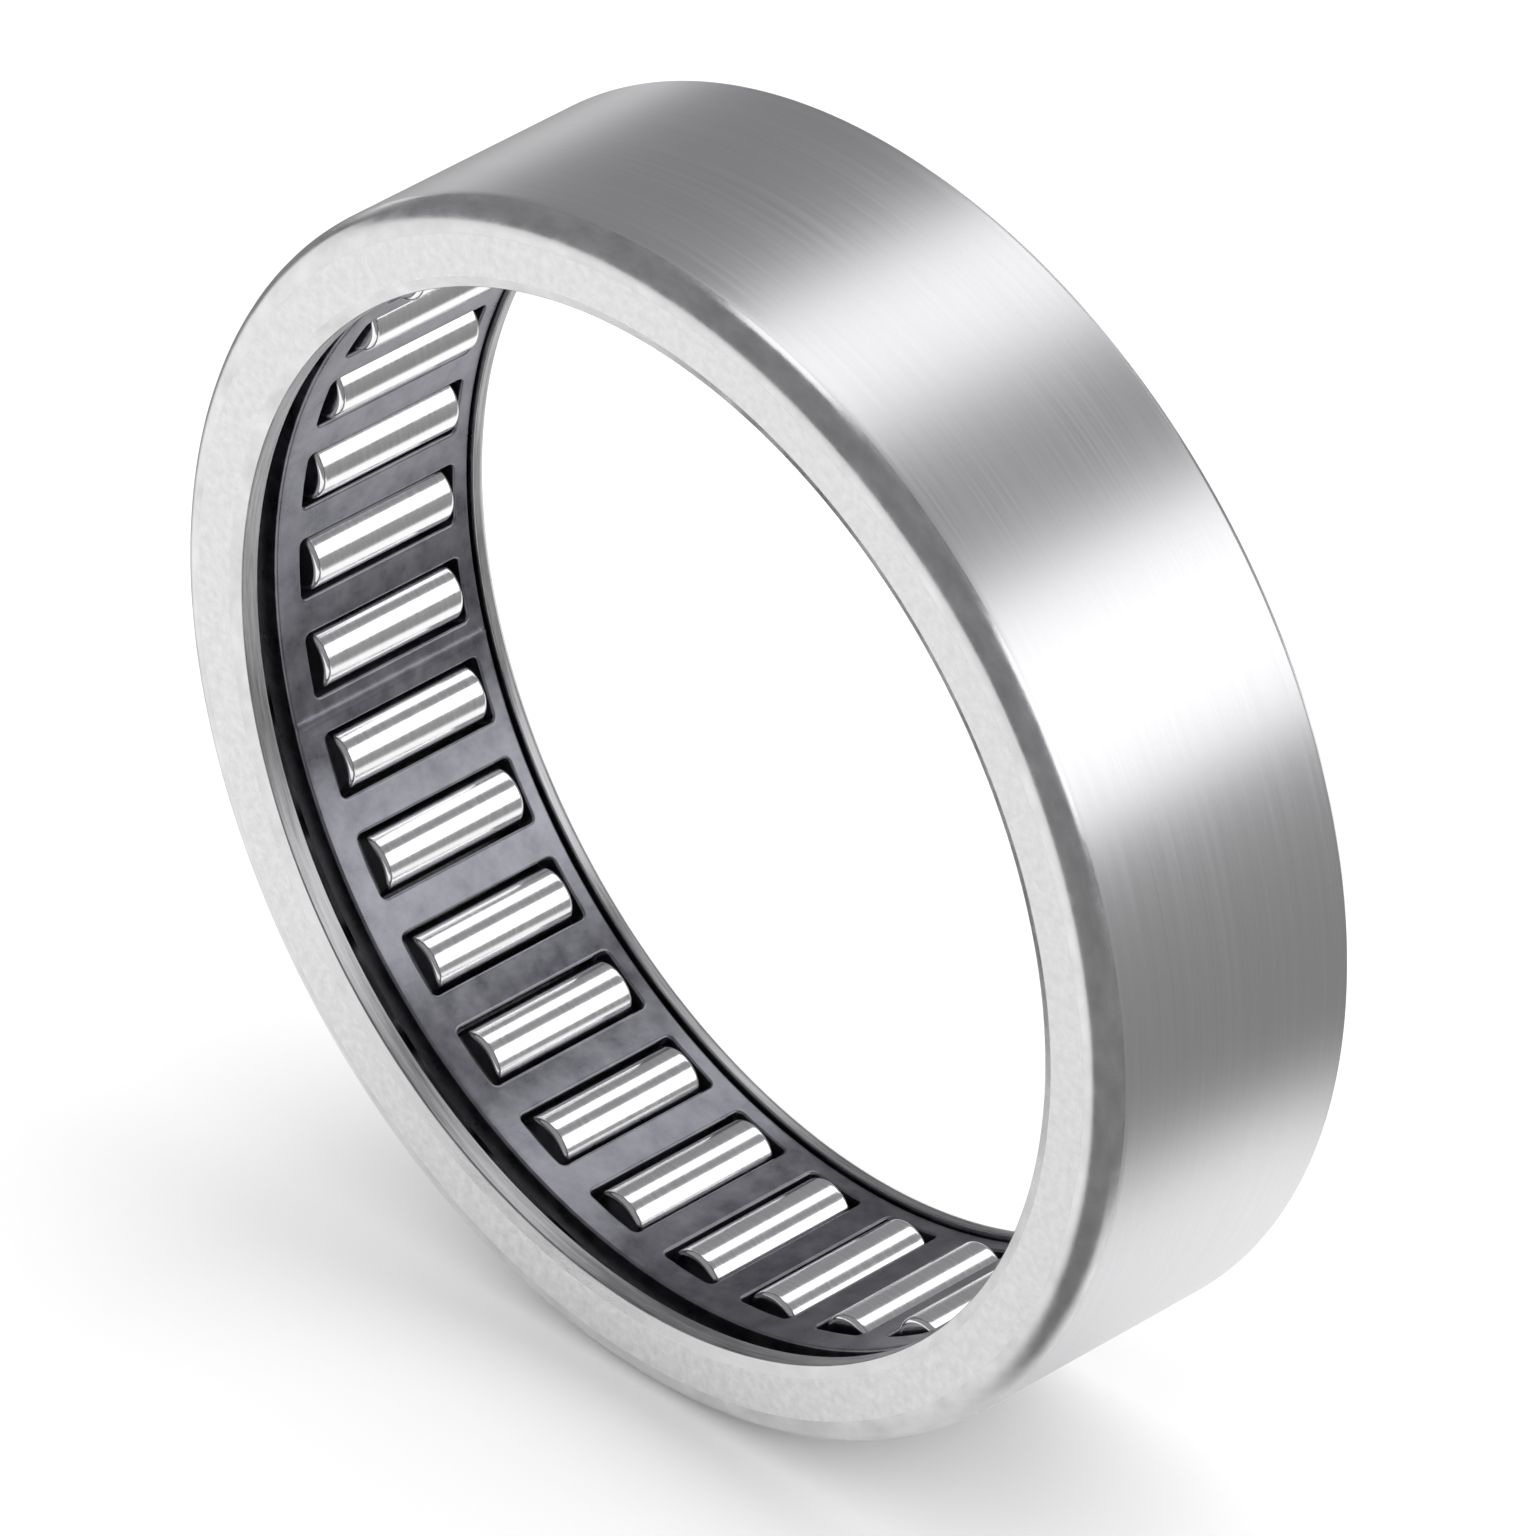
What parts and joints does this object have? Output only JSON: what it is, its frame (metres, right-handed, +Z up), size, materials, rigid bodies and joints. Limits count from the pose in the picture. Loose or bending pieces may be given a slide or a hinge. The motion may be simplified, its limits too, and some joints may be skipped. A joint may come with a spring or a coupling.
{
  "type": "needle roller bearing",
  "caption": "Drawn cup needle roller bearing: a thin steel cup with a lip at each end, open both sides, holding a slotted cage of slim rollers.",
  "frame": {"origin": "centre of the bearing, on its axis, midway between its end faces", "axes": "+Y along the bearing's axis, from the pressed front face to the rear face; +Z up, with the ring standing on its rim"},
  "size_m": [0.047, 0.012, 0.047],
  "materials": {
    "cup_steel": "ground outside, satin lips",
    "cage_steel": "dark phosphated, matt",
    "roller_steel": "polished"
  },
  "bodies": {
    "drawn_cup": {"drawn_cup": "cup_steel"},
    "cage": {"cage": "cage_steel"},
    "needle_roller_01": {"needle_roller_01": "roller_steel"},
    "needle_roller_02": {"needle_roller_02": "roller_steel"},
    "needle_roller_03": {"needle_roller_03": "roller_steel"},
    "needle_roller_04": {"needle_roller_04": "roller_steel"},
    "needle_roller_05": {"needle_roller_05": "roller_steel"},
    "needle_roller_06": {"needle_roller_06": "roller_steel"},
    "needle_roller_07": {"needle_roller_07": "roller_steel"},
    "needle_roller_08": {"needle_roller_08": "roller_steel"},
    "needle_roller_09": {"needle_roller_09": "roller_steel"},
    "needle_roller_10": {"needle_roller_10": "roller_steel"},
    "needle_roller_11": {"needle_roller_11": "roller_steel"},
    "needle_roller_12": {"needle_roller_12": "roller_steel"},
    "needle_roller_13": {"needle_roller_13": "roller_steel"},
    "needle_roller_14": {"needle_roller_14": "roller_steel"},
    "needle_roller_15": {"needle_roller_15": "roller_steel"},
    "needle_roller_16": {"needle_roller_16": "roller_steel"},
    "needle_roller_17": {"needle_roller_17": "roller_steel"},
    "needle_roller_18": {"needle_roller_18": "roller_steel"},
    "needle_roller_19": {"needle_roller_19": "roller_steel"},
    "needle_roller_20": {"needle_roller_20": "roller_steel"},
    "needle_roller_21": {"needle_roller_21": "roller_steel"},
    "needle_roller_22": {"needle_roller_22": "roller_steel"},
    "needle_roller_23": {"needle_roller_23": "roller_steel"},
    "needle_roller_24": {"needle_roller_24": "roller_steel"},
    "needle_roller_25": {"needle_roller_25": "roller_steel"},
    "needle_roller_26": {"needle_roller_26": "roller_steel"},
    "needle_roller_27": {"needle_roller_27": "roller_steel"},
    "needle_roller_28": {"needle_roller_28": "roller_steel"},
    "needle_roller_29": {"needle_roller_29": "roller_steel"},
    "needle_roller_30": {"needle_roller_30": "roller_steel"},
    "needle_roller_31": {"needle_roller_31": "roller_steel"},
    "needle_roller_32": {"needle_roller_32": "roller_steel"},
    "needle_roller_33": {"needle_roller_33": "roller_steel"}
  },
  "joints": [
    {"name": "cage_spin", "type": "hinge", "parent": "drawn_cup", "child": "cage", "pos_m": [0, 0, 0], "axis": [0, 1, 0], "continuous": true},
    {"name": "needle_roller_01_spin", "type": "hinge", "parent": "cage", "child": "needle_roller_01", "pos_m": [0.02113, 0.0009, 0.00233], "axis": [0, 1, 0], "continuous": true},
    {"name": "needle_roller_02_spin", "type": "hinge", "parent": "cage", "child": "needle_roller_02", "pos_m": [0.02031, 0.0009, 0.00629], "axis": [0, 1, 0], "continuous": true},
    {"name": "needle_roller_03_spin", "type": "hinge", "parent": "cage", "child": "needle_roller_03", "pos_m": [0.01875, 0.0009, 0.01002], "axis": [0, 1, 0], "continuous": true},
    {"name": "needle_roller_04_spin", "type": "hinge", "parent": "cage", "child": "needle_roller_04", "pos_m": [0.01652, 0.0009, 0.01339], "axis": [0, 1, 0], "continuous": true},
    {"name": "needle_roller_05_spin", "type": "hinge", "parent": "cage", "child": "needle_roller_05", "pos_m": [0.01368, 0.0009, 0.01627], "axis": [0, 1, 0], "continuous": true},
    {"name": "needle_roller_06_spin", "type": "hinge", "parent": "cage", "child": "needle_roller_06", "pos_m": [0.01036, 0.0009, 0.01857], "axis": [0, 1, 0], "continuous": true},
    {"name": "needle_roller_07_spin", "type": "hinge", "parent": "cage", "child": "needle_roller_07", "pos_m": [0.00666, 0.0009, 0.02019], "axis": [0, 1, 0], "continuous": true},
    {"name": "needle_roller_08_spin", "type": "hinge", "parent": "cage", "child": "needle_roller_08", "pos_m": [0.00271, 0.0009, 0.02109], "axis": [0, 1, 0], "continuous": true},
    {"name": "needle_roller_09_spin", "type": "hinge", "parent": "cage", "child": "needle_roller_09", "pos_m": [-0.00132, 0.0009, 0.02122], "axis": [0, 1, 0], "continuous": true},
    {"name": "needle_roller_10_spin", "type": "hinge", "parent": "cage", "child": "needle_roller_10", "pos_m": [-0.00532, 0.0009, 0.02058], "axis": [0, 1, 0], "continuous": true},
    {"name": "needle_roller_11_spin", "type": "hinge", "parent": "cage", "child": "needle_roller_11", "pos_m": [-0.00912, 0.0009, 0.01921], "axis": [0, 1, 0], "continuous": true},
    {"name": "needle_roller_12_spin", "type": "hinge", "parent": "cage", "child": "needle_roller_12", "pos_m": [-0.01259, 0.0009, 0.01713], "axis": [0, 1, 0], "continuous": true},
    {"name": "needle_roller_13_spin", "type": "hinge", "parent": "cage", "child": "needle_roller_13", "pos_m": [-0.0156, 0.0009, 0.01444], "axis": [0, 1, 0], "continuous": true},
    {"name": "needle_roller_14_spin", "type": "hinge", "parent": "cage", "child": "needle_roller_14", "pos_m": [-0.01805, 0.0009, 0.01123], "axis": [0, 1, 0], "continuous": true},
    {"name": "needle_roller_15_spin", "type": "hinge", "parent": "cage", "child": "needle_roller_15", "pos_m": [-0.01985, 0.0009, 0.00761], "axis": [0, 1, 0], "continuous": true},
    {"name": "needle_roller_16_spin", "type": "hinge", "parent": "cage", "child": "needle_roller_16", "pos_m": [-0.02093, 0.0009, 0.00372], "axis": [0, 1, 0], "continuous": true},
    {"name": "needle_roller_17_spin", "type": "hinge", "parent": "cage", "child": "needle_roller_17", "pos_m": [-0.02126, 0.0009, -0.00031], "axis": [0, 1, 0], "continuous": true},
    {"name": "needle_roller_18_spin", "type": "hinge", "parent": "cage", "child": "needle_roller_18", "pos_m": [-0.02081, 0.0009, -0.00433], "axis": [0, 1, 0], "continuous": true},
    {"name": "needle_roller_19_spin", "type": "hinge", "parent": "cage", "child": "needle_roller_19", "pos_m": [-0.01962, 0.0009, -0.00819], "axis": [0, 1, 0], "continuous": true},
    {"name": "needle_roller_20_spin", "type": "hinge", "parent": "cage", "child": "needle_roller_20", "pos_m": [-0.01771, 0.0009, -0.01176], "axis": [0, 1, 0], "continuous": true},
    {"name": "needle_roller_21_spin", "type": "hinge", "parent": "cage", "child": "needle_roller_21", "pos_m": [-0.01517, 0.0009, -0.0149], "axis": [0, 1, 0], "continuous": true},
    {"name": "needle_roller_22_spin", "type": "hinge", "parent": "cage", "child": "needle_roller_22", "pos_m": [-0.01208, 0.0009, -0.0175], "axis": [0, 1, 0], "continuous": true},
    {"name": "needle_roller_23_spin", "type": "hinge", "parent": "cage", "child": "needle_roller_23", "pos_m": [-0.00855, 0.0009, -0.01947], "axis": [0, 1, 0], "continuous": true},
    {"name": "needle_roller_24_spin", "type": "hinge", "parent": "cage", "child": "needle_roller_24", "pos_m": [-0.00471, 0.0009, -0.02073], "axis": [0, 1, 0], "continuous": true},
    {"name": "needle_roller_25_spin", "type": "hinge", "parent": "cage", "child": "needle_roller_25", "pos_m": [-0.0007, 0.0009, -0.02125], "axis": [0, 1, 0], "continuous": true},
    {"name": "needle_roller_26_spin", "type": "hinge", "parent": "cage", "child": "needle_roller_26", "pos_m": [0.00334, 0.0009, -0.021], "axis": [0, 1, 0], "continuous": true},
    {"name": "needle_roller_27_spin", "type": "hinge", "parent": "cage", "child": "needle_roller_27", "pos_m": [0.00725, 0.0009, -0.01999], "axis": [0, 1, 0], "continuous": true},
    {"name": "needle_roller_28_spin", "type": "hinge", "parent": "cage", "child": "needle_roller_28", "pos_m": [0.0109, 0.0009, -0.01825], "axis": [0, 1, 0], "continuous": true},
    {"name": "needle_roller_29_spin", "type": "hinge", "parent": "cage", "child": "needle_roller_29", "pos_m": [0.01416, 0.0009, -0.01586], "axis": [0, 1, 0], "continuous": true},
    {"name": "needle_roller_30_spin", "type": "hinge", "parent": "cage", "child": "needle_roller_30", "pos_m": [0.0169, 0.0009, -0.01289], "axis": [0, 1, 0], "continuous": true},
    {"name": "needle_roller_31_spin", "type": "hinge", "parent": "cage", "child": "needle_roller_31", "pos_m": [0.01904, 0.0009, -0.00946], "axis": [0, 1, 0], "continuous": true},
    {"name": "needle_roller_32_spin", "type": "hinge", "parent": "cage", "child": "needle_roller_32", "pos_m": [0.02048, 0.0009, -0.00569], "axis": [0, 1, 0], "continuous": true},
    {"name": "needle_roller_33_spin", "type": "hinge", "parent": "cage", "child": "needle_roller_33", "pos_m": [0.02119, 0.0009, -0.00171], "axis": [0, 1, 0], "continuous": true}
  ],
  "couplings": [
    {"joint": "needle_roller_01_spin", "follows": "cage_spin", "ratio": -18.008},
    {"joint": "needle_roller_02_spin", "follows": "cage_spin", "ratio": -18.008},
    {"joint": "needle_roller_03_spin", "follows": "cage_spin", "ratio": -18.008},
    {"joint": "needle_roller_04_spin", "follows": "cage_spin", "ratio": -18.008},
    {"joint": "needle_roller_05_spin", "follows": "cage_spin", "ratio": -18.008},
    {"joint": "needle_roller_06_spin", "follows": "cage_spin", "ratio": -18.008},
    {"joint": "needle_roller_07_spin", "follows": "cage_spin", "ratio": -18.008},
    {"joint": "needle_roller_08_spin", "follows": "cage_spin", "ratio": -18.008},
    {"joint": "needle_roller_09_spin", "follows": "cage_spin", "ratio": -18.008},
    {"joint": "needle_roller_10_spin", "follows": "cage_spin", "ratio": -18.008},
    {"joint": "needle_roller_11_spin", "follows": "cage_spin", "ratio": -18.008},
    {"joint": "needle_roller_12_spin", "follows": "cage_spin", "ratio": -18.008},
    {"joint": "needle_roller_13_spin", "follows": "cage_spin", "ratio": -18.008},
    {"joint": "needle_roller_14_spin", "follows": "cage_spin", "ratio": -18.008},
    {"joint": "needle_roller_15_spin", "follows": "cage_spin", "ratio": -18.008},
    {"joint": "needle_roller_16_spin", "follows": "cage_spin", "ratio": -18.008},
    {"joint": "needle_roller_17_spin", "follows": "cage_spin", "ratio": -18.008},
    {"joint": "needle_roller_18_spin", "follows": "cage_spin", "ratio": -18.008},
    {"joint": "needle_roller_19_spin", "follows": "cage_spin", "ratio": -18.008},
    {"joint": "needle_roller_20_spin", "follows": "cage_spin", "ratio": -18.008},
    {"joint": "needle_roller_21_spin", "follows": "cage_spin", "ratio": -18.008},
    {"joint": "needle_roller_22_spin", "follows": "cage_spin", "ratio": -18.008},
    {"joint": "needle_roller_23_spin", "follows": "cage_spin", "ratio": -18.008},
    {"joint": "needle_roller_24_spin", "follows": "cage_spin", "ratio": -18.008},
    {"joint": "needle_roller_25_spin", "follows": "cage_spin", "ratio": -18.008},
    {"joint": "needle_roller_26_spin", "follows": "cage_spin", "ratio": -18.008},
    {"joint": "needle_roller_27_spin", "follows": "cage_spin", "ratio": -18.008},
    {"joint": "needle_roller_28_spin", "follows": "cage_spin", "ratio": -18.008},
    {"joint": "needle_roller_29_spin", "follows": "cage_spin", "ratio": -18.008},
    {"joint": "needle_roller_30_spin", "follows": "cage_spin", "ratio": -18.008},
    {"joint": "needle_roller_31_spin", "follows": "cage_spin", "ratio": -18.008},
    {"joint": "needle_roller_32_spin", "follows": "cage_spin", "ratio": -18.008},
    {"joint": "needle_roller_33_spin", "follows": "cage_spin", "ratio": -18.008}
  ]
}
